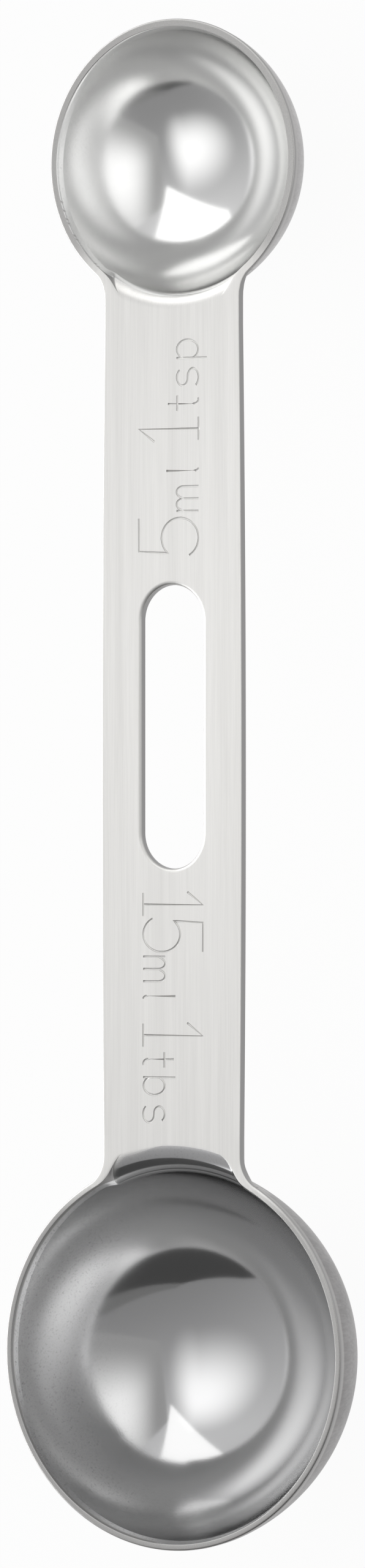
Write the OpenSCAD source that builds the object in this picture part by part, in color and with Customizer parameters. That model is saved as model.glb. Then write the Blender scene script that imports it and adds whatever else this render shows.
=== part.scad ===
// Double-ended measuring spoon, pressed from one piece of stainless sheet.
// A 15 cc bowl and a 5 cc bowl hang below a flat handle, and both rims are
// ground level with the handle's top face. Each node is a region of the one
// sheet, and neighbouring regions meet face to face.

/* [Sheet] */
// Thickness of the sheet
sheet_t = 1; // [0.8:0.05:1.2]
// Distance between the middles of the two bowls
bowl_pitch = 130.5; // [120:0.5:145]

/* [Tablespoon bowl] */
// Outer diameter of the rim
table_rim_d = 42.7; // [40:0.1:46]
// Depth inside, from the rim down; 18.11 holds 15 cc
table_depth = 18.11; // [16:0.01:19]
// Width of the ground face on top of the rim
table_edge_w = 0.65; // [0.4:0.05:0.9]
// Width of the neck between the handle and this bowl
table_neck_w = 17.4; // [15:0.1:18]

/* [Teaspoon bowl] */
// Outer diameter of the rim
tea_rim_d = 31.2; // [29:0.2:34]
// Depth inside, from the rim down; 12.07 holds 5 cc
tea_depth = 12.07; // [11:0.01:13.5]
// Width of the ground face on top of the rim
tea_edge_w = 0.75; // [0.4:0.05:0.9]
// Width of the neck between the handle and this bowl
tea_neck_w = 17.1; // [15:0.1:18]

/* [Lip] */
// Height of the flared lip that runs round inside each rim
lip_h = 0.9; // [0.6:0.1:1.2]
// How far the lip flares outward over that height
lip_flare = 0.4; // [0.2:0.05:0.6]

/* [Necks] */
// Radius of the shoulder that rounds the handle over into a bowl
shoulder_r = 3; // [2.2:0.1:3.6]
// Flat edge left beside the shoulder on each side of the neck
neck_edge_w = 1; // [0.8:0.1:2]
// Radius of the inside corner between the handle's side and a rim
corner_r = 3.5; // [2:0.1:5]
// Flat land between a shoulder and the handle
neck_land = 1; // [0.5:0.1:3]

/* [Handle] */
// Width of the handle at its middle
handle_w = 17.8; // [16:0.1:20]

/* [Hanging slot] */
// Length of the slot, end to end
slot_l = 31; // [20:0.5:40]
// Width of the slot
slot_w = 7.8; // [5:0.1:10]
// Distance from the tablespoon bowl's middle to the slot's middle
slot_place = 68.7; // [60:0.1:75]

/* [Hidden] */
$fn = 96;

// Radius of the ball that a cap of this depth and this mouth is cut from
function ball_r(depth, mouth_r) = (depth * depth + mouth_r * mouth_r) / (2 * depth);
function cap_volume(depth, mouth_r) = PI * depth * (3 * mouth_r * mouth_r + depth * depth) / 6;
function frustum_volume(h, r1, r2) = PI * h * (r1 * r1 + r1 * r2 + r2 * r2) / 3;
function side(hypotenuse, other) = sqrt(hypotenuse * hypotenuse - other * other);

// One bowl's sizes, worked out from its rim, depth and edge. Heights are from the rim plane.
function bowl(rim_d, depth, edge_w, neck_w) =
    let (rim_r = rim_d / 2,
         mouth_r = rim_r - edge_w,
         crease_r = mouth_r - lip_flare,
         inner_r = ball_r(depth - lip_h, crease_r),
         ball_z = inner_r - depth,
         outer_r = inner_r + sheet_t,
         wall_r = side(outer_r, ball_z + lip_h),
         reach = max(rim_r, wall_r),
         bend_x = side(inner_r + shoulder_r, shoulder_r + ball_z),
         corner_y = neck_w / 2 + corner_r,
         corner_x = side(reach + corner_r, corner_y))
    [rim_r, mouth_r, crease_r, inner_r, outer_r, ball_z, wall_r, reach,
     bend_x, corner_x, corner_y, neck_w];
function rim_r(b) = b[0];
function mouth_r(b) = b[1];
function crease_r(b) = b[2];
function inner_r(b) = b[3];
function outer_r(b) = b[4];
function ball_z(b) = b[5];
function wall_r(b) = b[6];
function reach(b) = b[7];
function bend_x(b) = b[8];
function corner_x(b) = b[9];
function corner_y(b) = b[10];
function neck_w(b) = b[11];
function neck_end(b) = bend_x(b) + neck_land;
function section_end(b) = neck_end(b) + overrun;
// Above both the rim plane and the ball's centre, which sinks below it in a deep bowl
function clear_z(b) = max(ball_z(b), 0) + overrun;
function volume(b) = frustum_volume(lip_h, mouth_r(b), crease_r(b))
    + cap_volume(inner_r(b) - ball_z(b) - lip_h, crease_r(b));

table = bowl(table_rim_d, table_depth, table_edge_w, table_neck_w);
tea = bowl(tea_rim_d, tea_depth, tea_edge_w, tea_neck_w);
mm3_per_cc = 1000;
echo(tablespoon_cc = volume(table) / mm3_per_cc, teaspoon_cc = volume(tea) / mm3_per_cc);

// How far a cut runs past what it cuts
overrun = 1;
// The origin is under the middle of the whole spoon, on the plane of its lowest point
overall_l = reach(table) + bowl_pitch + reach(tea);
table_x = reach(table) - overall_l / 2;
tea_x = table_x + bowl_pitch;
rim_z = max(table_depth, tea_depth) + sheet_t;
// The handle's straight stretch, between the two necks
handle_x1 = table_x + neck_end(table);
handle_x2 = tea_x - neck_end(tea);
handle_l = handle_x2 - handle_x1;
// The handle's width runs from one neck's to the other's and swells to its own
// in the middle, along a parabola drawn in this many steps
side_steps = 24;
swell = handle_w - (table_neck_w + tea_neck_w) / 2;
function width_at(share) = table_neck_w + (tea_neck_w - table_neck_w) * share
    + swell * 4 * share * (1 - share);
function side_point(step, way) = let (share = step / side_steps)
    [handle_x1 + handle_l * share, way * width_at(share) / 2];
satin = "gainsboro";
polished = "silver";
ground = "lightgray";

module tablespoon_bowl() { color(polished) at_table() bowl_shell(table); }
module teaspoon_bowl() { color(polished) at_tea() bowl_shell(tea); }
module tablespoon_rim() { color(ground) at_table() rim_ring(table); }
module teaspoon_rim() { color(ground) at_tea() rim_ring(tea); }
module tablespoon_neck() { color(satin) at_table() neck(table); }
module teaspoon_neck() { color(satin) at_tea() neck(tea); }

// The strip between the necks, with its long hanging slot
module handle() {
    color(satin)
    translate([0, 0, rim_z - sheet_t])
    linear_extrude(sheet_t)
    difference() {
        polygon([
            for (step = [0:side_steps]) side_point(step, -1),
            for (step = [side_steps:-1:0]) side_point(step, 1)
        ]);
        translate([table_x + slot_place, 0])
            slot_outline();
    }
}

module slot_outline() {
    square([slot_l - slot_w, slot_w], center = true);
    for (end = [-1, 1])
        translate([end * (slot_l - slot_w) / 2, 0])
            circle(d = slot_w);
}

// Both bowls are modelled with the handle towards +X and the rim plane at zero
module at_table() { translate([table_x, 0, rim_z]) children(); }
module at_tea() { translate([tea_x, 0, rim_z]) rotate(180) children(); }

// Spherical shell below the lip, less the tongue that belongs to the neck
module bowl_shell(b) {
    difference() {
        intersection() {
            translate([0, 0, ball_z(b)]) sphere(outer_r(b));
            translate([0, 0, -lip_h - 2 * outer_r(b)])
                cylinder(h = 2 * outer_r(b), r = outer_r(b) + overrun);
        }
        translate([0, 0, ball_z(b)]) sphere(inner_r(b));
        intersection() {
            rotate_extrude() above_bend(b);
            plan_prism(b) neck_plan(b);
        }
    }
}

// The lip and its ground top face, open where the neck comes in
module rim_ring(b) {
    difference() {
        rotate_extrude() lip_section(b);
        plan_prism(b) neck_plan(b);
    }
}

// The sheet between the handle and a bowl: a flat that bends down over the shoulder
module neck(b) {
    difference() {
        intersection() {
            rotate_extrude() neck_section(b);
            plan_prism(b) neck_plan(b);
        }
        intersection() {
            rotate_extrude() shoulder_cut(b);
            plan_prism(b) shoulder_plan(b);
        }
    }
}

// A plan outline stood up through the whole depth of a bowl
module plan_prism(b) {
    translate([0, 0, -outer_r(b)])
    linear_extrude(outer_r(b) + clear_z(b))
        children();
}

// Plan of a neck: a wedge from the bowl's middle whose sides run through the
// inside corners' centres, then the strip that leads to the handle
module neck_plan(b) {
    for (turn = [0, 1])
        mirror([0, turn])
        difference() {
            polygon([[0, 0], [corner_x(b), 0], [corner_x(b), corner_y(b)]]);
            translate([corner_x(b), corner_y(b)]) circle(corner_r);
        }
    translate([corner_x(b), -neck_w(b) / 2])
        square([neck_end(b) - corner_x(b), neck_w(b)]);
}

// Plan of the shoulder, which leaves a flat edge along each side of the neck
module shoulder_plan(b) {
    translate([0, neck_edge_w - neck_w(b) / 2])
        square([neck_end(b), neck_w(b) - 2 * neck_edge_w]);
}

// Sections, in distance from the bowl's axis and height from the rim plane

// The lip, from the crease up to the ground face
module lip_section(b) {
    polygon([
        [crease_r(b), -lip_h],
        [mouth_r(b), 0],
        [rim_r(b), 0],
        [wall_r(b), -lip_h]
    ]);
}

// The sheet's flat, the wall below it and the bend that joins them underneath
module neck_section(b) {
    intersection() {
        above_bend(b);
        difference() {
            union() {
                translate([0, -sheet_t]) square([section_end(b), sheet_t]);
                below_rim(b) translate([0, ball_z(b)]) circle(outer_r(b));
                difference() {
                    below_rim(b) above_bend(b);
                    translate([bend_x(b), -shoulder_r]) circle(shoulder_r - sheet_t);
                    translate([bend_x(b), -shoulder_r])
                        square([section_end(b), shoulder_r - sheet_t]);
                }
            }
            hollow_section(b);
        }
    }
}

// What the bowl holds: the ball below the crease and the flare above it
module hollow_section(b) {
    intersection() {
        translate([0, ball_z(b)]) circle(inner_r(b));
        translate([0, -lip_h - 2 * inner_r(b)]) square([inner_r(b), 2 * inner_r(b)]);
    }
    polygon([[0, -lip_h], [crease_r(b), -lip_h], [mouth_r(b), 0], [0, 0]]);
}

// Everything above the line from the ball's centre through the bend's centre,
// which is where bend and ball are tangent
module above_bend(b) {
    polygon([
        [0, ball_z(b)],
        [bend_x(b), -shoulder_r],
        [section_end(b), -shoulder_r],
        [section_end(b), clear_z(b)],
        [0, clear_z(b)]
    ]);
}

// Cuts the top of the sheet to the shoulder's radius
module shoulder_cut(b) {
    difference() {
        polygon([
            [0, ball_z(b)],
            [bend_x(b), -shoulder_r],
            [bend_x(b), clear_z(b)],
            [0, clear_z(b)]
        ]);
        translate([bend_x(b), -shoulder_r]) circle(shoulder_r);
    }
}

module below_rim(b) {
    intersection() {
        children();
        translate([0, -outer_r(b)]) square([section_end(b), outer_r(b)]);
    }
}

tablespoon_bowl();
tablespoon_rim();
tablespoon_neck();
handle();
teaspoon_neck();
teaspoon_rim();
teaspoon_bowl();
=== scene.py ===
"""Looks of a double-ended measuring spoon, pressed from one piece of stainless sheet."""
import math

import bpy
from mathutils import Matrix, Vector


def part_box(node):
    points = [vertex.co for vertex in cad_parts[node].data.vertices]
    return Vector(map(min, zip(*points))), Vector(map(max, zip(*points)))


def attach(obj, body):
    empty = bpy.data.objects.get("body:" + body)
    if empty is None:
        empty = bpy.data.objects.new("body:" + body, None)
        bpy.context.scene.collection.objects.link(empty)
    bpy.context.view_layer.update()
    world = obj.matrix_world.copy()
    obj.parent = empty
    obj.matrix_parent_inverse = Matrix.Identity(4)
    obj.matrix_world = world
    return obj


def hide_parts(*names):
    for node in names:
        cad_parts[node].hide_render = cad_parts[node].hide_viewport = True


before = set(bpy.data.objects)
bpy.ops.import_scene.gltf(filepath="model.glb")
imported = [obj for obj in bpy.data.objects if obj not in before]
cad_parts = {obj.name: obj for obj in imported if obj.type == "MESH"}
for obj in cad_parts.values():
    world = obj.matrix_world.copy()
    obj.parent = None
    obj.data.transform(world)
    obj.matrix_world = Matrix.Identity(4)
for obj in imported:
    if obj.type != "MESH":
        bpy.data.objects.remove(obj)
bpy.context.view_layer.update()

MM = 0.001

# Driving sizes in millimetres, the same as the solids'
SHEET_T = 1.0
LIP_H = 0.9
LIP_FLARE = 0.4
SHOULDER_R = 3.0
NECK_EDGE_W = 1.0
CORNER_R = 3.5
NECK_LAND = 1.0
HANDLE_W = 17.8
SLOT_W = 7.8
SLOT_L = 31.0
SLOT_PLACE = 68.7

# Finishing sizes in millimetres, left by deburring and by the press
EDGE_R = 0.1
RIM_EDGE_R = 0.22
SLOT_EDGE_R = 0.5
MOUTH_ROUND = 0.08
CRESCENT_R = 2.0
FOOT_ROUND = 0.15
MARK_W = 0.27
MARK_DEPTH = 0.09
# Degrees at which the slot's rolled edge leaves the flat face, in a crease that keeps its shading flat
FLARE_START = 10

# Fineness of the meshes: faces round a bowl, and faces over half a neck's middle and along it
AROUND = 360
MIDDLE_COLUMNS = 44
SHOULDER_ROWS = 84
LAND_ROWS = 6
# Steps over a small rounding, from one of its ends through its middle to the other
HALF_STEPS = (2, 1, 0, -1, -2)
# Widest gap in millimetres that is welded
WELD_GAP = 0.0005

RIM_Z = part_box("handle")[1].z / MM


def side(hypotenuse, other):
    """The other short side of a right-angled triangle."""
    return math.sqrt(hypotenuse * hypotenuse - other * other)


def soft_min(a, b, size):
    """The lower of two heights, rounded where they cross."""
    if size <= 0:
        return min(a, b)
    near = max(size - abs(a - b), 0) / size
    return min(a, b) - near * near * size / 4


def smooth(share):
    """A share from 0 to 1 that starts and ends level."""
    share = min(max(share, 0), 1)
    return share * share * (3 - 2 * share)


def fade(value, start, span):
    """A share that rises smoothly from 0 where a value passes start to 1 a span later."""
    return smooth((value - start) / span)


class Bowl:
    """One bowl's sizes in millimetres, with its neck towards +X and heights from the rim plane."""

    def __init__(self, key, way, depth, edge_w, neck_w, shoulder_r, brush_edge, brush_in):
        low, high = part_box(key + "_rim")
        self.key = key
        self.way = way
        self.depth = depth
        self.edge_w = edge_w
        self.neck_w = neck_w
        self.shoulder_r = shoulder_r
        # How far the handle's brushing reaches over the shoulder, and how much further towards +Y
        self.brush_edge = brush_edge
        self.brush_in = brush_in
        self.rim_r = (high.y - low.y) / 2 / MM
        self.x = low.x / MM + self.rim_r if way > 0 else high.x / MM - self.rim_r
        self.mouth_r = self.rim_r - edge_w
        self.crease_r = self.mouth_r - LIP_FLARE
        drop = depth - LIP_H
        self.inner_r = (drop * drop + self.crease_r * self.crease_r) / (2 * drop)
        self.ball_z = self.inner_r - depth
        self.outer_r = self.inner_r + SHEET_T
        self.bend_x = side(self.inner_r + shoulder_r, shoulder_r + self.ball_z)
        self.corner_y = neck_w / 2 + CORNER_R
        self.corner_x = side(self.rim_r + CORNER_R, self.corner_y)
        self.neck_end = side(self.inner_r + SHOULDER_R, SHOULDER_R + self.ball_z) + NECK_LAND
        # Half angle of the neck's wedge, and the turn from the flat to where the shoulder meets the ball
        self.wedge = math.atan2(self.corner_y, self.corner_x)
        self.bend = math.atan2(self.bend_x, self.ball_z + shoulder_r)
        self.tangent_z = -shoulder_r + shoulder_r * math.cos(self.bend)

    def place(self, point):
        """A point in the bowl's own millimetres, in the frame's metres."""
        return Vector((self.x + self.way * point[0], self.way * point[1], RIM_Z + point[2])) * MM

    def from_outline(self, x, y):
        """How far inside the spoon's outline a point of the plan lies."""
        y = abs(y)
        if math.atan2(y, x) >= self.wedge:
            return self.rim_r - math.hypot(x, y)
        if x < self.corner_x:
            return math.hypot(x - self.corner_x, y - self.corner_y) - CORNER_R
        return self.neck_w / 2 - y

    def half_width(self, x):
        """Half the neck's width at this distance along it."""
        return self.corner_y - side(CORNER_R, max(self.corner_x - x, 0))

    def half_angle(self, r):
        """Half the angle that the neck's plan fills at this distance from the axis."""
        if r <= self.rim_r:
            return self.wedge
        if r >= math.hypot(self.corner_x, self.neck_w / 2):
            return math.asin(self.neck_w / 2 / r)
        reach = self.rim_r + CORNER_R
        turn = (r * r + reach * reach - CORNER_R * CORNER_R) / (2 * r * reach)
        return self.wedge - math.acos(min(turn, 1))

    def along_corner(self, x, y):
        """How far from the rim's end to the neck's straight side a place is, from 0 to 1."""
        corner = math.atan2(self.neck_w / 2, self.corner_x)
        return smooth((self.wedge - math.atan2(abs(y), x)) / (self.wedge - corner))

    def flat_w(self, x, y):
        """Width of the flat edge beside the mouth, which widens from the rim's to the neck's."""
        return self.edge_w + (NECK_EDGE_W - self.edge_w) * self.along_corner(x, y)

    def edge_r(self, x, y):
        """Rounding of the outer edge, which tightens from the rim's to the neck's."""
        return RIM_EDGE_R + (EDGE_R - RIM_EDGE_R) * self.along_corner(x, y)

    def reach(self, x, y):
        """How far inside the mouth's edge a point lies, with the crescent's corners rounded."""
        edge = self.from_outline(x, y) - self.flat_w(x, y)
        along = self.bend_x - math.hypot(x, y)
        return CRESCENT_R - math.hypot(max(CRESCENT_R - edge, 0), max(CRESCENT_R - along, 0))

    def shoulder(self, r, ray):
        """Height of the bend's top or under side at this distance from the bowl's axis."""
        return side(ray, min(max(self.bend_x - r, 0), ray)) - self.shoulder_r

    def top(self, x, y):
        """Height of the pressed sheet's top side over a point of the plan."""
        r = math.hypot(x, y)
        shoulder = self.shoulder(r, self.shoulder_r)
        wall = soft_min(0, -self.reach(x, y) * LIP_H / LIP_FLARE, MOUTH_ROUND)
        foot = min(FOOT_ROUND, -shoulder / 2)
        height = -soft_min(-wall, -shoulder, foot)
        if r < self.inner_r:
            height = min(height, self.ball_z - side(self.inner_r, r))
        return height - rounding(self.from_outline(x, y), self.edge_r(x, y))

    def under(self, x, y):
        """Height of the sheet's under side, which turns into the ball's outside beside the mouth."""
        r = math.hypot(x, y)
        share = 1 - self.along_corner(x, y)
        ball = self.ball_z - side(self.outer_r, min(r, self.rim_r))
        height = self.shoulder(r, self.shoulder_r - SHEET_T) * (1 - share) + ball * share
        return height + (rounding(self.from_outline(x, y), EDGE_R) if r >= self.rim_r else 0)

    def widest(self, r, inside):
        """Widest angle at this distance from the axis at which a measure of the plan is positive."""
        low, high = 0, self.half_angle(r)
        if inside(r * math.cos(high), r * math.sin(high)) > -1e-6:
            return high
        for _ in range(24):
            middle = (low + high) / 2
            if inside(r * math.cos(middle), r * math.sin(middle)) >= 0:
                low = middle
            else:
                high = middle
        return low

    def columns(self, r):
        """Angles from the middle of the neck out to its side, close together where the sheet turns."""
        slope = LIP_H / LIP_FLARE
        fall = -self.shoulder(r, self.shoulder_r)
        foot = min(FOOT_ROUND, fall / 2)
        soft = MOUTH_ROUND / slope
        ball = self.ball_z - side(self.inner_r, r) if r < self.inner_r else 0
        levels = [(fall + foot * step / 2) / slope for step in HALF_STEPS]
        levels += [max(-ball / slope, soft)] + [soft * step / 2 for step in HALF_STEPS]
        for step in range(1, len(levels)):
            levels[step] = min(levels[step], levels[step - 1])
        turns = [self.widest(r, lambda x, y: self.reach(x, y) - level) for level in levels]
        edges = [self.widest(r, lambda x, y: (self.from_outline(x, y)
                                              - self.edge_r(x, y) * (1 - math.sin(turn))))
                 for turn in (math.radians(15 * step) for step in range(7))]
        return (between(0, turns[0], MIDDLE_COLUMNS)
                + turns[:5] + between(turns[4], turns[5], 3)[1:]
                + turns[5:6] + between(turns[5], turns[6], 6)[1:] + turns[6:]
                + between(turns[-1], edges[0], 3)[1:] + edges)


def between(low, high, count):
    """Evenly spaced values from low up to but not including high."""
    return [low + (high - low) * step / count for step in range(count)]


def rounding(inside, edge_r):
    """Drop of a deburred edge this far inside it."""
    inside = min(max(inside, 0), edge_r)
    return edge_r - side(edge_r, edge_r - inside)


TABLE = Bowl("tablespoon", way=1, depth=18.11, edge_w=0.65, neck_w=17.4, shoulder_r=3.0,
             brush_edge=0.06, brush_in=1.0)
TEA = Bowl("teaspoon", way=-1, depth=12.07, edge_w=0.75, neck_w=17.1, shoulder_r=2.0,
           brush_edge=4.5, brush_in=0.5)


# Modelling helpers


def add(operator, name, **settings):
    """Adds a primitive with nothing else selected."""
    bpy.ops.object.select_all(action="DESELECT")
    operator(**settings)
    made = bpy.context.object
    made.name = name
    made.data.name = name
    return made


def edit(piece, *steps):
    """Runs edit mode steps on all of a piece."""
    bpy.ops.object.select_all(action="DESELECT")
    piece.select_set(True)
    bpy.context.view_layer.objects.active = piece
    bpy.ops.object.mode_set(mode="EDIT")
    for step in steps:
        bpy.ops.mesh.select_all(action="SELECT")
        step()
    bpy.ops.object.mode_set(mode="OBJECT")


def modify(piece, kind, **settings):
    """Adds a modifier and applies it."""
    bpy.ops.object.select_all(action="DESELECT")
    piece.select_set(True)
    bpy.context.view_layer.objects.active = piece
    modifier = piece.modifiers.new(kind.title(), kind)
    for key, value in settings.items():
        setattr(modifier, key, value)
    bpy.ops.object.modifier_apply(modifier=modifier.name)


def join(name, pieces):
    """One object from several."""
    bpy.ops.object.select_all(action="DESELECT")
    for piece in pieces:
        piece.select_set(True)
    bpy.context.view_layer.objects.active = pieces[0]
    bpy.ops.object.join()
    pieces[0].name = name
    return pieces[0]


def weld(gap=WELD_GAP):
    bpy.ops.mesh.remove_doubles(threshold=gap)


def face_out():
    bpy.ops.mesh.normals_make_consistent(inside=False)


def shade(piece, angle):
    """Smooth shading, broken at edges sharper than this many degrees."""
    bpy.ops.object.select_all(action="DESELECT")
    piece.select_set(True)
    bpy.context.view_layer.objects.active = piece
    bpy.ops.object.shade_smooth_by_angle(angle=math.radians(angle))


def settle(piece, bowl):
    """Takes a piece from a bowl's own millimetres to its place in the frame."""
    for vertex in piece.data.vertices:
        vertex.co = bowl.place(vertex.co)
    piece.data.update()


# Pieces


def wall_arc(bowl, top_z):
    """Half section of the ball's inside, from its bottom up to a height."""
    arc = add(bpy.ops.mesh.primitive_circle_add, "arc", vertices=AROUND, radius=bowl.inner_r,
              location=(0, 0, bowl.ball_z), rotation=(math.pi / 2, 0, 0))
    bpy.ops.object.transform_apply()
    edit(arc,
         lambda: bpy.ops.mesh.bisect(plane_co=(0, 0, 0), plane_no=(1, 0, 0), clear_inner=True),
         lambda: bpy.ops.mesh.bisect(plane_co=(0, 0, top_z), plane_no=(0, 0, 1), clear_outer=True))
    return arc


def spin(piece, turn, steps):
    """Spins a section about the bowl's axis."""
    edit(piece,
         lambda: bpy.ops.mesh.spin(steps=steps, angle=turn, center=(0, 0, 0), axis=(0, 0, 1)))


def turn_by(piece, angle):
    piece.data.transform(Matrix.Rotation(angle, 4, "Z"))


def make_bowl(bowl):
    """Deep drawn shell: two spins that leave room for the neck's tongue, then the sheet's thickness."""
    gap = 2 * bowl.wedge
    steps = round(AROUND * gap / (2 * math.pi))
    shell = wall_arc(bowl, -LIP_H)
    spin(shell, 2 * math.pi - gap, AROUND - steps)
    turn_by(shell, -bowl.wedge)
    front = wall_arc(bowl, bowl.tangent_z)
    spin(front, gap, steps)
    turn_by(front, bowl.wedge)
    shell = join(bowl.key + "_bowl_shell", [shell, front])
    edit(shell, weld, face_out)
    outward = sum(face.normal.dot(face.center - Vector((0, 0, bowl.ball_z)))
                  for face in shell.data.polygons) > 0
    modify(shell, "SOLIDIFY", thickness=SHEET_T, offset=1 if outward else -1, use_even_offset=True)
    edit(shell, face_out)
    settle(shell, bowl)
    shade(shell, 40)
    return shell


def make_rim(bowl):
    """Flared lip with its ground top face, spun round from one side of the neck to the other."""
    grow = bowl.outer_r / bowl.inner_r
    foot = (bowl.crease_r * grow, bowl.ball_z - (bowl.ball_z + LIP_H) * grow)
    insides = [bowl.edge_w + LIP_FLARE * step / 4 for step in (4, 3, 2, 1)]
    insides += [bowl.edge_w + MOUTH_ROUND * step / 4 for step in HALF_STEPS]
    insides += [bowl.edge_w / 2]
    insides += [RIM_EDGE_R * (1 - math.sin(math.radians(turn))) for turn in range(0, 91, 15)]
    section = [(bowl.rim_r - inside, bowl.top(0, bowl.rim_r - inside)) for inside in insides] + [foot]
    rim = add(bpy.ops.mesh.primitive_circle_add, bowl.key + "_rim_lip",
              vertices=len(section), fill_type="NGON")
    for vertex, (r, z) in zip(rim.data.vertices, section):
        vertex.co = (r, 0, z)
    gap = 2 * bowl.wedge
    spin(rim, 2 * math.pi - gap, AROUND - round(AROUND * gap / (2 * math.pi)))
    turn_by(rim, -bowl.wedge)
    edit(rim, face_out)
    settle(rim, bowl)
    shade(rim, 35)
    return rim


def make_neck(bowl):
    """Shoulder and land: a flat grid drawn out to a thickness and pressed to both sides' heights."""
    rows = []
    ray, under_ray = bowl.shoulder_r, bowl.shoulder_r - SHEET_T
    at_rim = math.asin((bowl.bend_x - bowl.rim_r) / ray)
    under_at_rim = math.asin((bowl.bend_x - bowl.rim_r) / under_ray)
    for step in range(SHOULDER_ROWS + 1):
        turn = bowl.bend * (1 - step / SHOULDER_ROWS)
        r = bowl.bend_x - ray * math.sin(turn)
        under_r = r
        if turn > at_rim:
            share = (turn - at_rim) / (bowl.bend - at_rim)
            under_turn = under_at_rim + (bowl.bend - under_at_rim) * share
            under_r = bowl.bend_x - under_ray * math.sin(under_turn)
        half = bowl.columns(r)
        rows.append((r, under_r, [-angle for angle in half[:0:-1]] + half))
    columns = len(rows[0][2]) - 1
    neck = add(bpy.ops.mesh.primitive_grid_add, bowl.key + "_neck_shoulder",
               x_subdivisions=columns, y_subdivisions=SHOULDER_ROWS + LAND_ROWS, size=2)
    edit(neck, lambda: bpy.ops.mesh.extrude_region_move(
        TRANSFORM_OT_translate={"value": (0, 0, -1)}))
    for vertex in neck.data.vertices:
        column = round((vertex.co.x + 1) / 2 * columns)
        row = round((vertex.co.y + 1) / 2 * (SHOULDER_ROWS + LAND_ROWS))
        is_under = vertex.co.z < -0.5
        r, under_r, angles = rows[min(row, SHOULDER_ROWS)]
        r = under_r if is_under else r
        x, y = r * math.cos(angles[column]), r * math.sin(angles[column])
        if row > SHOULDER_ROWS:
            share = (row - SHOULDER_ROWS) / LAND_ROWS
            corner = bowl.bend_x * math.cos(angles[-1])
            y *= (bowl.half_width(corner + (bowl.neck_end - corner) * share)
                  / bowl.half_width(corner))
            x += (bowl.neck_end - x) * share
        vertex.co = (x, y, bowl.under(x, y) if is_under else bowl.top(x, y))
    edit(neck, weld, face_out)
    settle(neck, bowl)
    shade(neck, 40)
    return neck


def handle_half_width(x):
    """Half the handle's width at this place along the frame's X, in millimetres."""
    low, high = TABLE.x + TABLE.neck_end, TEA.x - TEA.neck_end
    share = (x - low) / (high - low)
    ends = TABLE.neck_w + (TEA.neck_w - TABLE.neck_w) * share
    swell = HANDLE_W - (TABLE.neck_w + TEA.neck_w) / 2
    return (ends + swell * 4 * share * (1 - share)) / 2


def cut_out(piece, cutter):
    """Cuts a closed shape out of a piece."""
    modify(piece, "BOOLEAN", operation="DIFFERENCE", object=cutter, solver="EXACT", use_self=True)
    bpy.data.objects.remove(cutter)


def to_mesh(name, curve):
    """A mesh object from a curve."""
    made = bpy.data.objects.new(name, curve)
    bpy.context.collection.objects.link(made)
    bpy.ops.object.select_all(action="DESELECT")
    made.select_set(True)
    bpy.context.view_layer.objects.active = made
    bpy.ops.object.convert(target="MESH")
    return bpy.context.object


def make_strip(outline):
    """A plate of the sheet's thickness with deburred edges, from a closed outline."""
    curve = bpy.data.curves.new("handle_strip", "CURVE")
    curve.dimensions = "2D"
    curve.fill_mode = "BOTH"
    curve.extrude = (SHEET_T / 2 - EDGE_R) * MM
    curve.bevel_depth = EDGE_R * MM
    curve.bevel_resolution = 3
    curve.offset = -EDGE_R * MM
    spline = curve.splines.new("POLY")
    spline.points.add(len(outline) - 1)
    for point, (x, y) in zip(spline.points, outline):
        point.co = (x * MM, y * MM, 0, 1)
    spline.use_cyclic_u = True
    strip = to_mesh("handle_strip", curve)
    strip.data.transform(Matrix.Translation((0, 0, (RIM_Z - SHEET_T / 2) * MM)))
    return strip


def flare(edge_r, steps):
    """Section of a rolled edge from above the face down to the wall, as depths and offsets."""
    start = math.radians(FLARE_START)
    above = 0.05
    section = [(-above, edge_r * (1 - math.sin(start))
                + (above + edge_r * (1 - math.cos(start))) / math.tan(start))]
    for step in range(steps + 1):
        turn = start + (math.pi / 2 - start) * step / steps
        section.append((edge_r * (1 - math.cos(turn)), edge_r * (1 - math.sin(turn))))
    return section


def make_punch(slot_x):
    """The slot's hollow: a straight-sided round-ended hole, flared where its edges are rolled over."""
    section = [(RIM_Z - depth, offset) for depth, offset in flare(SLOT_EDGE_R, 12)]
    section += [(RIM_Z - SHEET_T + depth, offset) for depth, offset in reversed(flare(EDGE_R, 4))]
    around = []
    end_steps = 48
    for end in (1, -1):
        around += [(end, math.radians(-90 + 180 * step / end_steps)) for step in range(end_steps + 1)]
    around.append(around[0])
    columns, rows = len(around) - 1, len(section) - 1
    punch = add(bpy.ops.mesh.primitive_grid_add, "slot_punch", x_subdivisions=columns,
                y_subdivisions=rows, size=2)
    half = (SLOT_L - SLOT_W) / 2
    for vertex in punch.data.vertices:
        end, angle = around[round((vertex.co.x + 1) / 2 * columns)]
        z, offset = section[round((vertex.co.y + 1) / 2 * rows)]
        r = SLOT_W / 2 + offset
        vertex.co = (slot_x + end * (half + r * math.cos(angle)), end * r * math.sin(angle), z)
    edit(punch, weld, lambda: bpy.ops.mesh.fill_holes(sides=0), face_out)
    punch.data.transform(Matrix.Scale(MM, 4))
    return punch


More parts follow.
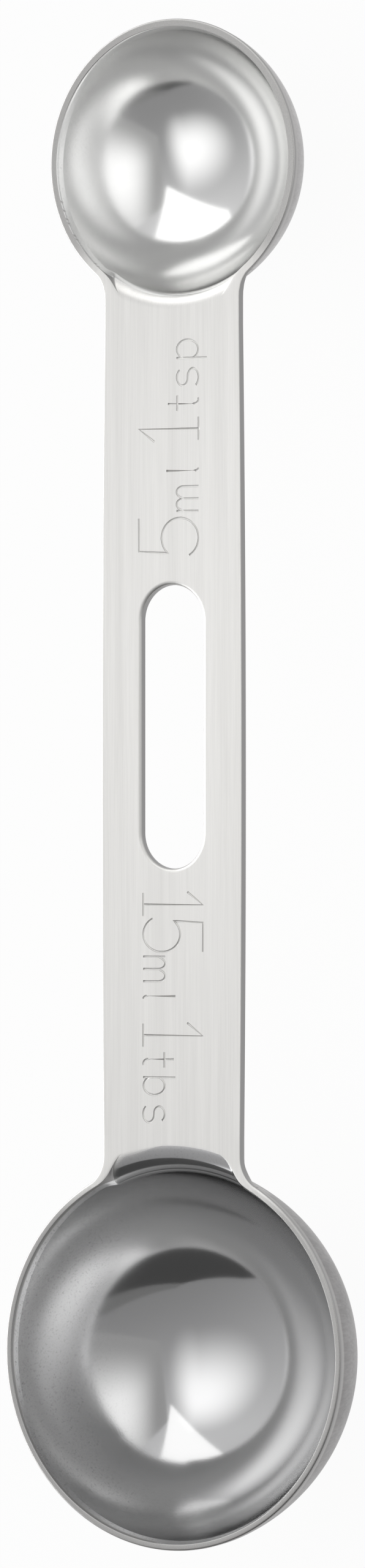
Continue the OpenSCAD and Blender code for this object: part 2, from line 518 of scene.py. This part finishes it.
def make_handle():
    """Blanked strip with its hanging slot, cut flush at both necks."""
    low, high = TABLE.x + TABLE.neck_end, TEA.x - TEA.neck_end
    spare = 2
    steps = 60
    xs = [low - spare + (high - low + 2 * spare) * step / steps for step in range(steps + 1)]
    outline = [(x, -handle_half_width(x)) for x in xs]
    outline += [(x, handle_half_width(x)) for x in reversed(xs)]
    strip = make_strip(outline)
    edit(strip,
         lambda: weld(WELD_GAP * MM),
         face_out,
         lambda: bpy.ops.mesh.bisect(plane_co=(low * MM, 0, 0), plane_no=(1, 0, 0),
                                     clear_inner=True, use_fill=True),
         lambda: bpy.ops.mesh.bisect(plane_co=(high * MM, 0, 0), plane_no=(1, 0, 0),
                                     clear_outer=True, use_fill=True))
    cut_out(strip, make_punch(TABLE.x + SLOT_PLACE))
    return strip


# Capacity marks, engraved in single strokes of even width
# A letter is a list of strokes, and a stroke a list of points: across the letter and up it


def bow(x, y, wide, high, start, end, steps=24):
    """Points of an oval arc, by its middle, half sizes and degrees from the right, turning left."""
    turns = [math.radians(start + (end - start) * step / steps) for step in range(steps + 1)]
    return [(x + wide * math.cos(turn), y + high * math.sin(turn)) for turn in turns]


ONE = [[(0.0, 0.74), (0.5, 1.0), (0.5, 0.0)], [(0.05, 0.0), (0.95, 0.0)]]
FIVE = [[(0.96, 1.0), (0.14, 1.0), (0.1, 0.56)] + bow(0.47, 0.31, 0.5, 0.31, 140, -150)]
SMALL_M = [[(0.0, 0.0), (0.0, 0.68)],
           [(0.0, 0.48)] + bow(0.27, 0.46, 0.23, 0.22, 150, 0, 12) + [(0.5, 0.0)],
           [(0.5, 0.48)] + bow(0.77, 0.46, 0.23, 0.22, 150, 0, 12) + [(1.0, 0.0)]]
SMALL_L = [[(0.5, 1.0), (0.5, 0.12)] + bow(0.66, 0.12, 0.16, 0.12, 170, 270, 6)]
SMALL_T = [[(0.42, 0.95), (0.42, 0.16)] + bow(0.62, 0.16, 0.2, 0.16, 170, 290, 8),
           [(0.1, 0.66), (0.8, 0.66)]]
SMALL_S = [bow(0.5, 0.5, 0.34, 0.17, 30, 250) + bow(0.5, 0.17, 0.38, 0.17, 80, -150)]
SMALL_P = [[(0.12, 0.68), (0.12, -0.26)], bow(0.48, 0.34, 0.41, 0.33, 150, -150)]
SMALL_B = [[(0.12, 1.0), (0.12, 0.0)], bow(0.48, 0.34, 0.41, 0.33, 150, -150)]

# Each mark's letters with their left edge, width and height in millimetres, along the reading line
DIGIT_H = 7.6
SMALL_H = 4.1
TEA_MARK = [(FIVE, 24.9, 4.4, DIGIT_H), (SMALL_M, 29.9, 2.7, SMALL_H), (SMALL_L, 33.3, 2.0, SMALL_H),
            (ONE, 37.5, 2.8, DIGIT_H), (SMALL_T, 40.6, 2.4, SMALL_H), (SMALL_S, 43.2, 2.6, SMALL_H),
            (SMALL_P, 46.3, 2.6, SMALL_H)]
TABLE_MARK = [(ONE, 11.7, 2.8, DIGIT_H), (FIVE, 14.5, 3.9, DIGIT_H), (SMALL_M, 18.8, 2.7, SMALL_H),
              (SMALL_L, 22.1, 2.0, SMALL_H), (ONE, 26.0, 2.8, DIGIT_H), (SMALL_T, 29.0, 2.4, SMALL_H),
              (SMALL_B, 31.7, 2.5, SMALL_H), (SMALL_S, 34.8, 2.4, SMALL_H)]
# How far the letters' feet stand below the handle's middle line, as each mark is read
TEA_FOOT = -3.45
TABLE_FOOT = -3.6


def engrave(handle):
    """Cuts both marks into the handle's top face, one stroke of every letter at a time.

    The strokes of one letter touch, and a cutter that crosses itself would leave the plate open.
    """
    height = RIM_Z + MARK_W / 2 - MARK_DEPTH
    most = max(len(strokes) for strokes, *_ in TEA_MARK + TABLE_MARK)
    for turn in range(most):
        curve = bpy.data.curves.new("mark_strokes", "CURVE")
        curve.dimensions = "3D"
        curve.bevel_depth = MARK_W / 2 * MM
        curve.bevel_resolution = 2
        curve.use_fill_caps = True
        for mark, way, foot in ((TEA_MARK, 1, TEA_FOOT), (TABLE_MARK, -1, TABLE_FOOT)):
            for strokes, left, width, high in mark:
                for stroke in strokes[turn:turn + 1]:
                    spline = curve.splines.new("POLY")
                    spline.points.add(len(stroke) - 1)
                    for point, (x, y) in zip(spline.points, stroke):
                        point.co = (way * (left + x * width) * MM, way * (foot + y * high) * MM,
                                    height * MM, 1)
        cutter = to_mesh("mark_strokes", curve)
        edit(cutter, lambda: weld(WELD_GAP * MM), face_out)
        cut_out(handle, cutter)
    shade(handle, FLARE_START - 1)


# Finishes

# Vertex attributes that say where each finish shows
FINISHES = ("polish", "dull", "ground", "drawn")
# Roughness of the large and the small bowl's polish, and of either bowl's walls at the mouth
TABLE_ROUGH = 0.09
TEA_ROUGH = 0.13
WALL_ROUGH = 0.24
# Share of the walls' dullness that drawing leaves, and the rest is a haze at the mouth
DRAW_DULL = 0.7
# Roughness of the rims' ground face
GROUND_ROUGH = 0.4
# Heights in metres of the brushing's scratches and of the polish's orange peel
SCRATCH_DEPTH = 0.0000025
PEEL_DEPTH = 0.0000025
# How much of the peel the brightest polish keeps
PEEL_LEFT = 0.3
# How far the satin's highlights spread across the brushing
SATIN_SPREAD = 0.6


def linear(code):
    """Linear colour of an sRGB hex value."""
    parts = [int(code[place:place + 2], 16) / 255 for place in (1, 3, 5)]
    return tuple(part / 12.92 if part <= 0.04045 else ((part + 0.055) / 1.055) ** 2.4
                 for part in parts) + (1,)


def put(tree, kind, inputs, **settings):
    """Adds a node with its settings; an input is a value or another node's output.

    A Mix node takes its inputs by number: 6 and 7 are its two colours, and 2 and 3 its two values.
    """
    made = tree.nodes.new(kind)
    for key, value in settings.items():
        setattr(made, key, value)
    for key, value in inputs.items():
        if isinstance(value, bpy.types.NodeSocket):
            tree.links.new(value, made.inputs[key])
        else:
            made.inputs[key].default_value = value
    return made


def brushed(tree, place):
    """Colour, roughness and hairs of sheet brushed lengthwise to a satin.

    The hairs are about 9 mm long and 0.16 mm apart, in broad bands 1.3 mm apart from the wheel. A
    real wheel's hairs lie closer together, and these are as coarse as they need to be to show.
    """
    hair_place = put(tree, "ShaderNodeMapping", {"Vector": place, "Scale": (110, 6200, 6200)})
    hairs = put(tree, "ShaderNodeTexNoise", {"Vector": hair_place.outputs[0], "Scale": 1,
                                             "Detail": 3, "Roughness": 0.6})
    band_place = put(tree, "ShaderNodeMapping", {"Vector": place, "Scale": (18, 750, 750)})
    bands = put(tree, "ShaderNodeTexNoise", {"Vector": band_place.outputs[0], "Scale": 1,
                                             "Detail": 2})
    grain = put(tree, "ShaderNodeMath", {0: hairs.outputs["Fac"], 1: bands.outputs["Fac"]},
                operation="ADD")
    tone = put(tree, "ShaderNodeMapRange", {"Value": grain.outputs[0], "From Min": 0.7,
                                            "From Max": 1.3})
    colour = put(tree, "ShaderNodeMix", {"Factor": tone.outputs[0], 6: linear("#E4E3E0"),
                                         7: linear("#EFEEEB")}, data_type="RGBA")
    rough = put(tree, "ShaderNodeMapRange", {"Value": tone.outputs[0], "To Min": 0.45,
                                             "To Max": 0.4})
    return colour.outputs[2], rough.outputs[0], hairs.outputs["Fac"]


def ground_face(tree, place):
    """Colour of the rims' level face, with grinding grain 0.12 mm apart."""
    grit = put(tree, "ShaderNodeTexNoise", {"Vector": place, "Scale": 8000, "Detail": 2})
    return put(tree, "ShaderNodeMix", {"Factor": grit.outputs["Fac"], 6: linear("#B4B3B1"),
                                       7: linear("#CFCECC")}, data_type="RGBA").outputs[2]


def polished(tree, dull, is_tea, peel, cloud):
    """Colour and roughness of the bowls' inside.

    The smaller punch leaves a hazier polish, and the smaller bowl's polish is painted lighter, as
    painted light for the brighter light at its end. The dull walls are pitted with dark grains, more in
    the large bowl, and wiping leaves cloudy patches all over.
    """
    # The smaller bowl's lighter polish colour is painted light
    polish_and_painted_light = put(tree, "ShaderNodeMix", {"Factor": is_tea, 6: linear("#DCDCDC"),
                                        7: linear("#F4F4F3")}, data_type="RGBA")
    most = put(tree, "ShaderNodeMapRange", {"Value": is_tea, "To Min": 0.36, "To Max": 0.08})
    pits = put(tree, "ShaderNodeMapRange", {"Value": peel, "From Min": 0.56, "From Max": 0.72,
                                            "To Max": most.outputs[0]})
    pitted = put(tree, "ShaderNodeMath", {0: pits.outputs[0], 1: dull}, operation="MULTIPLY")
    colour = put(tree, "ShaderNodeMix", {"Factor": pitted.outputs[0], 6: polish_and_painted_light.outputs[2],
                                         7: linear("#6E6C6B")}, data_type="RGBA")
    haze = put(tree, "ShaderNodeMapRange", {"Value": is_tea, "To Min": TABLE_ROUGH,
                                            "To Max": TEA_ROUGH})
    bright = put(tree, "ShaderNodeMapRange", {"Value": dull, "To Min": haze.outputs[0],
                                              "To Max": WALL_ROUGH})
    patch = put(tree, "ShaderNodeMapRange", {"Value": cloud, "From Min": 0.3, "From Max": 0.7,
                                             "To Min": 0.85, "To Max": 1.15})
    rough = put(tree, "ShaderNodeMath", {0: bright.outputs[0], 1: patch.outputs[0]},
                operation="MULTIPLY")
    return colour.outputs[2], rough.outputs[0]


def tumbled_and_painted_light(tree, place, is_tea, cloud):
    """Colour and roughness of the bowls' outside.

    The die leaves drawing lines, here 0.3 mm apart and so coarser than real ones, to show at all.
    Tumbling leaves soft blotches over them. The dark gray is partly painted shade, which dims the
    white floor that the outside mirrors, and the smaller bowl's lighter outside is painted light.
    """
    line_place = put(tree, "ShaderNodeMapping", {"Vector": place, "Scale": (3300, 3300, 260)})
    lines = put(tree, "ShaderNodeTexNoise", {"Vector": line_place.outputs[0], "Scale": 1,
                                             "Detail": 2})
    worn = put(tree, "ShaderNodeMath", {0: lines.outputs["Fac"], 1: cloud}, operation="ADD")
    # The smaller bowl's outside is painted lighter: painted light
    brighter = put(tree, "ShaderNodeMath", {0: is_tea, 1: 0.82, 2: worn.outputs[0]},
                   operation="MULTIPLY_ADD")
    share = put(tree, "ShaderNodeMapRange", {"Value": brighter.outputs[0], "From Min": 0.2,
                                             "From Max": 2.2})
    # Dark tones, partly painted shade that dims the floor's white in the outside's reflection
    colour = put(tree, "ShaderNodeMix", {"Factor": share.outputs[0], 6: linear("#6D6B6B"),
                                         7: linear("#9D9B9B")}, data_type="RGBA")
    rough = put(tree, "ShaderNodeMapRange", {"Value": share.outputs[0], "To Min": 0.42,
                                             "To Max": 0.26})
    return colour.outputs[2], rough.outputs[0]


def steel(name, spread=0.0):
    """Stainless sheet in its finishes, which run into each other across the pieces' seams.

    Four attributes say where each shows. Where all are 0 the sheet is brushed lengthwise to a satin,
    with short hairs that spread light across them. Polish is the bright inside that the punch leaves,
    dull the part of it that slid past the draw ring, ground the rims' level face, and drawn the
    bowls' outside from the die and tumbling. The smaller bowl's inside and outside are painted lighter,
    as painted light, and the outside's dark gray is partly painted shade. A spread draws highlights out
    across the brushing.
    """
    metal = bpy.data.materials.new(name)
    metal.use_nodes = True
    tree = metal.node_tree
    shader = tree.nodes["Principled BSDF"]
    coords = put(tree, "ShaderNodeTexCoord", {})
    place = coords.outputs["Object"]
    polish, dull, ground, drawn = (
        put(tree, "ShaderNodeAttribute", {}, attribute_name=finish).outputs["Fac"]
        for finish in FINISHES)

    # Orange peel of grains 0.22 mm apart, and cloudy patches 6 mm across
    peel = put(tree, "ShaderNodeTexNoise", {"Vector": place, "Scale": 4500, "Detail": 2}).outputs["Fac"]
    cloud = put(tree, "ShaderNodeTexNoise", {"Vector": place, "Scale": 160, "Detail": 3}).outputs["Fac"]
    # The two bowls' tones, the smaller one's lighter by painted light, change over in the middle 20 mm
    # of the handle, which shows neither
    along = put(tree, "ShaderNodeSeparateXYZ", {0: place}).outputs["X"]
    is_tea = put(tree, "ShaderNodeMapRange", {"Value": along, "From Min": -0.01,
                                              "From Max": 0.01}).outputs[0]

    colour, rough, hairs = brushed(tree, place)
    polish_and_painted_light, shine_rough = polished(tree, dull, is_tea, peel, cloud)
    outside, outside_rough = tumbled_and_painted_light(tree, place, is_tea, cloud)
    for share, new_colour, new_rough in ((ground, ground_face(tree, place), GROUND_ROUGH),
                                         (polish, polish_and_painted_light, shine_rough),
                                         (drawn, outside, outside_rough)):
        colour = put(tree, "ShaderNodeMix", {"Factor": share, 6: colour, 7: new_colour},
                     data_type="RGBA").outputs[2]
        rough = put(tree, "ShaderNodeMix", {"Factor": share, 2: rough, 3: new_rough}).outputs[0]

    # The sheared sides of the handle and necks are duller and darker than the faces, a tone of their
    # own.
    # The same darker gray on the other steep faces, such as the rolled edges and the engraved grooves,
    # is painted shade.
    level = put(tree, "ShaderNodeSeparateXYZ", {0: coords.outputs["Normal"]}).outputs["Z"]
    flatness = put(tree, "ShaderNodeMath", {0: level}, operation="ABSOLUTE")
    is_side = put(tree, "ShaderNodeMapRange", {"Value": flatness.outputs[0], "From Min": 0.8,
                                               "From Max": 0.3})
    other = put(tree, "ShaderNodeMath", {0: polish, 1: drawn}, operation="MAXIMUM")
    is_plain = put(tree, "ShaderNodeMath", {0: 1.0, 1: other.outputs[0]}, operation="SUBTRACT")
    steep_tone_and_shade = put(tree, "ShaderNodeMath", {0: is_side.outputs[0], 1: is_plain.outputs[0]},
                  operation="MULTIPLY")
    colour = put(tree, "ShaderNodeMix", {"Factor": steep_tone_and_shade.outputs[0], 6: colour,
                                         7: linear("#9A9999")}, data_type="RGBA").outputs[2]

    # Scratches everywhere but in the polish, and orange peel in the polish, most where it is dull
    unpolished = put(tree, "ShaderNodeMath", {0: 1.0, 1: polish}, operation="SUBTRACT")
    scratches = put(tree, "ShaderNodeBump", {"Height": hairs, "Strength": unpolished.outputs[0],
                                             "Distance": SCRATCH_DEPTH})
    left = put(tree, "ShaderNodeMapRange", {"Value": dull, "To Min": PEEL_LEFT, "To Max": 1.0})
    peel_share = put(tree, "ShaderNodeMath", {0: left.outputs[0], 1: polish}, operation="MULTIPLY")
    relief = put(tree, "ShaderNodeBump", {"Height": peel, "Strength": peel_share.outputs[0],
                                          "Distance": PEEL_DEPTH, "Normal": scratches.outputs[0]})
    tree.links.new(colour, shader.inputs["Base Color"])
    tree.links.new(rough, shader.inputs["Roughness"])
    tree.links.new(relief.outputs[0], shader.inputs["Normal"])
    shader.inputs["Metallic"].default_value = 1
    if spread:
        tangent = put(tree, "ShaderNodeTangent", {}, direction_type="RADIAL", axis="X")
        tree.links.new(tangent.outputs[0], shader.inputs["Tangent"])
        shader.inputs["Anisotropic"].default_value = spread
    return metal


def set_finish(piece, finish_at):
    """Gives each vertex its shares of polish, dull, ground and drawn, from its place in metres."""
    for finish in FINISHES:
        piece.data.attributes.new(finish, "FLOAT", "POINT")
    layers = [piece.data.attributes[finish].data for finish in FINISHES]
    for number, vertex in enumerate(piece.data.vertices):
        for layer, share in zip(layers, finish_at(vertex.co)):
            layer[number].value = share


def bowl_finish(bowl):
    """Shares of each finish over a bowl, its lip and its neck, by place."""
    def finish(co):
        x, y, z = (co.x / MM - bowl.x) * bowl.way, co.y / MM * bowl.way, co.z / MM - RIM_Z
        r = math.hypot(x, y)
        angle = math.atan2(abs(y), x)
        from_ball = math.hypot(r, z - bowl.ball_z)
        is_top = z > bowl.top(x, y) - SHEET_T / 4
        is_inside = from_ball < (bowl.inner_r + bowl.outer_r) / 2 and r < bowl.crease_r + 0.3
        polish = 1.0
        if not is_inside:
            soft = bowl.brush_edge + bowl.brush_in * fade(co.y / MM, 1, 4)
            polish = fade(bowl.reach(x, y), -0.02, soft) if is_top and r < bowl.bend_x else 0.0
        # The walls are dull above the polished bottom, but not just below the neck's shoulder
        near_neck = (1 - fade(angle, bowl.wedge - 0.16, 0.16)) * fade(z, bowl.tangent_z - 3, 3)
        dull = DRAW_DULL * fade(z, -0.8 * bowl.depth, 0.5 * bowl.depth) * (1 - near_neck)
        dull += (1 - DRAW_DULL) * fade(z, -2.5, 2)
        ground = fade(angle, bowl.wedge, 0.3) if is_top else 0.0
        drawn = 0.0 if is_top or is_inside else fade(angle, bowl.wedge - 0.1, 0.2)
        if z < bowl.tangent_z and not is_inside:
            drawn = 1.0
        return polish, dull, ground * (1 - polish), drawn
    return finish


handle = make_handle()
engrave(handle)
set_finish(handle, lambda co: (0.0, 0.0, 0.0, 0.0))
satin_steel = steel("stainless_brushed_satin", spread=SATIN_SPREAD)
polished_steel = steel("stainless_drawn_polished")
edge_steel = steel("stainless_ground_edge")
dressed = [(handle, "handle", satin_steel, "satin_steel")]
for bowl in (TABLE, TEA):
    for make, part, material, slot_name in ((make_bowl, "_bowl", polished_steel, "polished_steel"),
                                            (make_rim, "_rim", edge_steel, "ground_edge"),
                                            (make_neck, "_neck", satin_steel, "satin_steel")):
        piece = make(bowl)
        set_finish(piece, bowl_finish(bowl))
        dressed.append((piece, bowl.key + part, material, slot_name))
for piece, node, material, slot_name in dressed:
    piece.data.materials.clear()
    piece.data.materials.append(material)
    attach(piece, "root")
    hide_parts(node)


# Camera, square to the spoon's length, above its rims, and far enough off for a near parallel view

ELEVATION = math.radians(59)
# Scale of the photograph, its height and its middle in millimetres, and the camera's way off in metres
PIXELS_PER_MM = 14.95
FRAME_H = 2560 / PIXELS_PER_MM
AIM = Vector((0.08, -1.405, RIM_Z)) * MM
DISTANCE = 1.2

camera_data = bpy.data.cameras.new("camera")
camera = bpy.data.objects.new("camera", camera_data)
bpy.context.collection.objects.link(camera)
camera_data.sensor_width = 36
camera_data.lens = camera_data.sensor_width * DISTANCE / (FRAME_H * MM)
camera_data.clip_start = 0.05
camera_data.clip_end = 20
right = Vector((0, -math.sin(ELEVATION), -math.cos(ELEVATION)))
up = Vector((1, 0, 0))
back = right.cross(up)
camera.matrix_world = (Matrix.Translation(AIM + back * DISTANCE)
                       @ Matrix((right, up, back)).transposed().to_4x4())
bpy.context.scene.camera = camera


# Studio: a small gray light tent, open to a bright room on one side

# How much of the floor is plain white to the camera and in reflections
FLOOR_GLOW = 0.95
# Brightness of the tent's gray and pale sides, the window, the lamp's middle and the cards, where
# 1 is white. The side panel is dimmest where it fades into the tent.
TENT_GRAY = 0.27
TENT_PALE = 0.68
WINDOW_LEVEL = 4.0
LAMP_LEVEL = 0.8
CARD_LEVEL = 1.35
BLACK_LEVEL = 0.07
GRAY_LEVEL = 0.2
PANEL_LEVEL = 1.15
PANEL_LOW = 0.38

# Directions towards the tent's pale side and the low window
PALE_SIDE = (1, 0.35, 0)
WINDOW_SIDE = (0, 0.8, -0.6)

world = bpy.data.worlds.new("studio")
world.use_nodes = True
tree = world.node_tree
tree.nodes.clear()
toward = put(tree, "ShaderNodeTexCoord", {}).outputs["Generated"]
along = put(tree, "ShaderNodeVectorMath", {0: toward, 1: PALE_SIDE}, operation="DOT_PRODUCT")
turned = put(tree, "ShaderNodeMapRange", {"Value": along.outputs["Value"], "From Min": -0.9,
                                          "From Max": 0.8})
late = put(tree, "ShaderNodeMath", {0: turned.outputs[0], 1: 1.5}, operation="POWER")
wall = put(tree, "ShaderNodeMapRange", {"Value": late.outputs[0], "To Min": TENT_GRAY,
                                        "To Max": TENT_PALE})
far = put(tree, "ShaderNodeVectorMath", {0: toward, 1: WINDOW_SIDE}, operation="DOT_PRODUCT")
far_share = put(tree, "ShaderNodeMapRange", {"Value": far.outputs["Value"], "From Min": 0.25,
                                             "From Max": 0.6}, interpolation_type="SMOOTHSTEP")
whole = put(tree, "ShaderNodeMix", {"Factor": far_share.outputs[0], 2: wall.outputs[0],
                                    3: WINDOW_LEVEL})
tent = put(tree, "ShaderNodeBackground", {"Color": (0.99, 0.99, 1, 1),
                                          "Strength": whole.outputs[0]})
seen = put(tree, "ShaderNodeBackground", {"Color": (1, 1, 1, 1), "Strength": 1})
# The camera alone sees white past the floor. Reflections see the tent, because steel that mirrors
# white from all sides would lose the bowls' form.
eye = put(tree, "ShaderNodeLightPath", {}).outputs["Is Camera Ray"]
sky = put(tree, "ShaderNodeMixShader", {0: eye, 1: tent.outputs[0], 2: seen.outputs[0]})
put(tree, "ShaderNodeOutputWorld", {"Surface": sky.outputs[0]})
bpy.context.scene.world = world

# Soft box above the handle. Its glow is an oval, crisp towards -Y and fading slowly towards +Y. Each
# range runs from 0 at the oval's middle to 1 at its edge, between two places in metres.
LAMP_PLACE = (20, 30, RIM_Z + 185)
LAMP_LONG = 0.34
LAMP_WIDE = 0.30

lamp_data = bpy.data.lights.new("soft_box", "AREA")
lamp_data.shape = "RECTANGLE"
lamp_data.size = LAMP_LONG
lamp_data.size_y = LAMP_WIDE
lamp_data.energy = LAMP_LEVEL * math.pi * LAMP_LONG * LAMP_WIDE
lamp_data.use_nodes = True
tree = lamp_data.node_tree
spot = put(tree, "ShaderNodeNewGeometry", {}).outputs["Position"]
spot_xyz = put(tree, "ShaderNodeSeparateXYZ", {0: spot})
along = put(tree, "ShaderNodeMapRange", {"Value": spot_xyz.outputs["X"], "From Min": 0.028,
                                         "From Max": 0.183}, clamp=False)
across = put(tree, "ShaderNodeVectorMath", {0: spot, 1: (-0.17, 1, 0)}, operation="DOT_PRODUCT")
front = put(tree, "ShaderNodeMapRange", {"Value": across.outputs["Value"], "From Min": -0.02,
                                         "From Max": -0.095}, clamp=False)
behind = put(tree, "ShaderNodeVectorMath", {0: spot, 1: (0.3, 1, 0)}, operation="DOT_PRODUCT")
rear = put(tree, "ShaderNodeMapRange", {"Value": behind.outputs["Value"], "From Min": -0.005,
                                        "From Max": 0.185}, clamp=False)
either = put(tree, "ShaderNodeMath", {0: front.outputs[0], 1: rear.outputs[0]},
             operation="MAXIMUM")
offset = put(tree, "ShaderNodeCombineXYZ", {0: along.outputs[0], 1: either.outputs[0]})
radius = put(tree, "ShaderNodeVectorMath", {0: offset.outputs[0]}, operation="LENGTH")
glow = put(tree, "ShaderNodeMapRange", {"Value": radius.outputs["Value"], "From Min": 1.0,
                                        "From Max": 0.08}, interpolation_type="SMOOTHSTEP")
tree.links.new(glow.outputs[0], tree.nodes["Emission"].inputs["Strength"])
lamp = bpy.data.objects.new("soft_box", lamp_data)
bpy.context.collection.objects.link(lamp)
lamp.location = Vector(LAMP_PLACE) * MM
lamp.visible_camera = False


def stage_card(name, corners, level, fades=()):
    """A card beside the spoon that only its reflections show, from its corners in millimetres.

    A fade is an axis, two places along it in metres, a share at each, and the blend between them.
    The shares' product takes the card from the tent's own dimness at 0 to its level at 1.
    """
    bpy.ops.object.select_all(action="DESELECT")
    bpy.ops.mesh.primitive_plane_add(size=1)
    card = bpy.context.object
    card.name = name
    for vertex, corner in zip(card.data.vertices, (corners[0], corners[1], corners[3], corners[2])):
        vertex.co = Vector(corner) * MM
    paint = bpy.data.materials.new(name)
    paint.use_nodes = True
    tree = paint.node_tree
    tree.nodes.clear()
    glow = put(tree, "ShaderNodeEmission", {"Strength": level})
    if fades:
        place = put(tree, "ShaderNodeTexCoord", {}).outputs["Object"]
        place_xyz = put(tree, "ShaderNodeSeparateXYZ", {0: place})
        share = 1.0
        for axis, start, end, start_share, end_share, blend in fades:
            step = put(tree, "ShaderNodeMapRange", {"Value": place_xyz.outputs[axis],
                                                    "From Min": start, "From Max": end,
                                                    "To Min": start_share, "To Max": end_share},
                       interpolation_type=blend)
            share = put(tree, "ShaderNodeMath", {0: share, 1: step.outputs[0]},
                        operation="MULTIPLY").outputs[0]
        lit = put(tree, "ShaderNodeMapRange", {"Value": share, "To Min": PANEL_LOW, "To Max": level})
        tree.links.new(lit.outputs[0], glow.inputs["Strength"])
    put(tree, "ShaderNodeOutputMaterial", {"Surface": glow.outputs[0]})
    card.data.materials.append(paint)
    card.visible_camera = False
    card.visible_diffuse = False
    card.visible_shadow = False


stage_card("white_card", [(216, -170, 417), (200, -22, 40), (178, 120, 40), (177, 115, 134)],
           CARD_LEVEL)
stage_card("black_card", [(-169, -330, 8), (-169, 330, 8), (-169, 80, 112), (-169, -20, 125)],
           BLACK_LEVEL)
stage_card("gray_card", [(-172, -330, 8), (-172, 200, 8), (-172, -36, 136), (-172, -243, 117)],
           GRAY_LEVEL)
stage_card("side_panel", [(-110, -210, 40), (420, -210, 40), (420, -210, 480), (-110, -210, 370)],
           PANEL_LEVEL, fades=(("X", -0.09, 0.09, 0, 1, "SMOOTHSTEP"),
                               ("X", 0.15, 0.35, 1, 0.6, "LINEAR"),
                               ("Z", 0.36, 0.13, 0, 1, "SMOOTHSTEP")))

# Floor, tilted a little in the spoon's level frame so that both bowls stand on it
centre_gap = TEA.x - TABLE.x
rise = TEA.ball_z - TABLE.ball_z
tilt = (math.atan2(rise, centre_gap)
        + math.asin((TABLE.outer_r - TEA.outer_r) / math.hypot(centre_gap, rise)))
floor_up = Vector((-math.sin(tilt), 0, math.cos(tilt)))
touch = TABLE.place((0, 0, TABLE.ball_z)) - floor_up * TABLE.outer_r * MM
bpy.ops.object.select_all(action="DESELECT")
bpy.ops.mesh.primitive_plane_add(size=6, location=touch, rotation=(0, -tilt, 0))
floor = bpy.context.object
floor.name = "floor"

# Mostly plain white to the camera and in reflections, and the rest of it takes the spoon's shadow
paper = bpy.data.materials.new("white_paper")
paper.use_nodes = True
tree = paper.node_tree
sheet = tree.nodes["Principled BSDF"]
sheet.inputs["Base Color"].default_value = linear("#F4F4F2")
sheet.inputs["Roughness"].default_value = 0.9
rays = put(tree, "ShaderNodeLightPath", {})
direct = put(tree, "ShaderNodeMath", {0: rays.outputs["Is Camera Ray"],
                                      1: rays.outputs["Is Glossy Ray"]}, operation="MAXIMUM")
either = put(tree, "ShaderNodeMath", {0: direct.outputs[0],
                                      1: rays.outputs["Is Transmission Ray"]}, operation="MAXIMUM")
share = put(tree, "ShaderNodeMath", {0: either.outputs[0], 1: FLOOR_GLOW}, operation="MULTIPLY")
white = put(tree, "ShaderNodeEmission", {"Strength": 1})
mixed = put(tree, "ShaderNodeMixShader", {0: share.outputs[0], 1: sheet.outputs[0],
                                          2: white.outputs[0]})
tree.links.new(mixed.outputs[0], tree.nodes["Material Output"].inputs["Surface"])
floor.data.materials.append(paper)
bpy.context.scene.view_settings.view_transform = "Standard"
